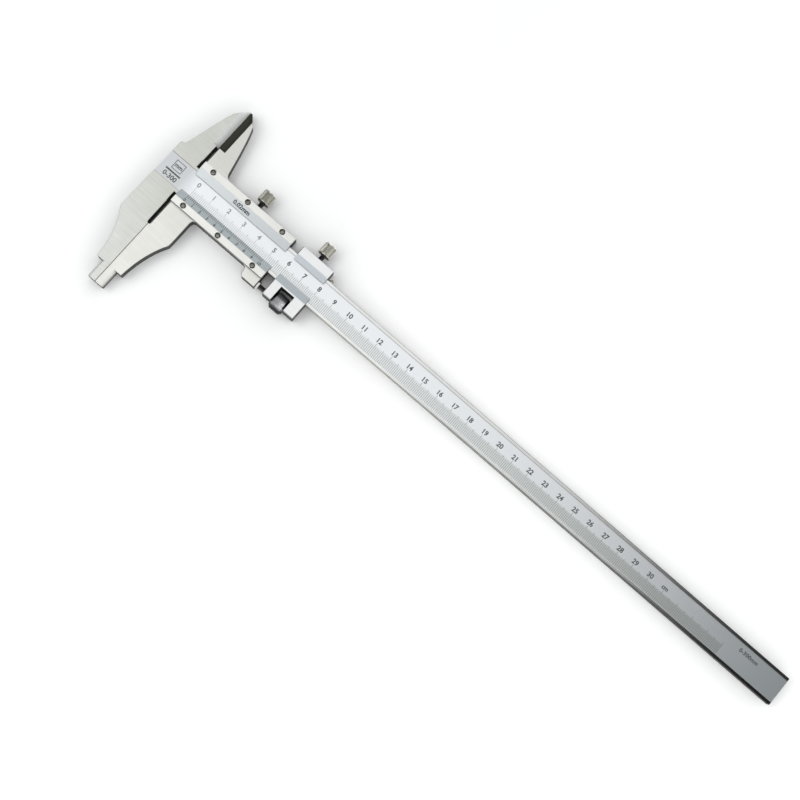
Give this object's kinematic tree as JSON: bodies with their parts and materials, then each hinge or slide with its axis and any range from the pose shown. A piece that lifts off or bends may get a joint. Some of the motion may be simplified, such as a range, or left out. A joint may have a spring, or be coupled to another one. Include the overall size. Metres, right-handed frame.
{
  "type": "vernier caliper",
  "caption": "Vernier caliper with round nib jaws, knife-edge jaws, bevelled vernier plates, thumb lock screws and a fine adjustment carriage.",
  "frame": {"origin": "middle of the head's back face, on the beam's centreline", "axes": "+X along the beam away from the jaws, +Y towards the knife-edge jaws, +Z out of the graduated face"},
  "size_m": [0.4098, 0.1169, 0.0097],
  "materials": {
    "ground_steel": "ground",
    "satin_chrome": "satin chrome plate on steel",
    "nickelled_brass": "nickel plated, knurled",
    "dark_steel": "turned, darkened",
    "spring_bronze": "rolled strip",
    "scale_fill": "dark fill in the engraved marks"
  },
  "bodies": {
    "beam": {"main_beam": "ground_steel"},
    "slider": {"slider_body": "ground_steel", "vernier_plate": "satin_chrome", "cover_plate": "satin_chrome", "plate_screw_1": "dark_steel", "plate_screw_2": "dark_steel", "plate_screw_3": "dark_steel", "plate_screw_4": "dark_steel", "plate_screw_5": "dark_steel", "plate_screw_6": "dark_steel", "slider_leaf_spring": "spring_bronze", "fine_adjust_spindle": "dark_steel", "spindle_pin": "dark_steel", "spindle_lock_nut": "ground_steel"},
    "slider_thumb_screw": {"slider_thumb_head": "nickelled_brass", "slider_thumb_stud": "dark_steel"},
    "carriage": {"carriage_body": "satin_chrome", "carriage_leaf_spring": "spring_bronze"},
    "carriage_thumb_screw": {"carriage_thumb_head": "nickelled_brass", "carriage_thumb_stud": "dark_steel"},
    "adjusting_nut": {"fine_adjust_nut": "dark_steel"}
  },
  "joints": [
    {"name": "main_slide", "type": "slide", "parent": "beam", "child": "slider", "axis": [1, 0, 0], "range_m": [0, 0.3]},
    {"name": "fine_slide", "type": "slide", "parent": "slider", "child": "carriage", "axis": [1, 0, 0], "range_m": [-0.003, 0.004]},
    {"name": "nut_turn", "type": "hinge", "parent": "carriage", "child": "adjusting_nut", "pos_m": [0.0835, -0.0165, 0.0049], "axis": [1, 0, 0], "range_deg": [-2160, 2880]},
    {"name": "slider_screw_turn", "type": "hinge", "parent": "slider", "child": "slider_thumb_screw", "pos_m": [0.0435, 0.02, 0.0052], "axis": [0, 1, 0], "range_deg": [-180, 180]},
    {"name": "carriage_screw_turn", "type": "hinge", "parent": "carriage", "child": "carriage_thumb_screw", "pos_m": [0.0842, 0.02, 0.0052], "axis": [0, 1, 0], "range_deg": [-180, 180]}
  ],
  "couplings": [
    {"joint": "nut_turn", "follows": "fine_slide", "rad_per_m": 12566}
  ]
}
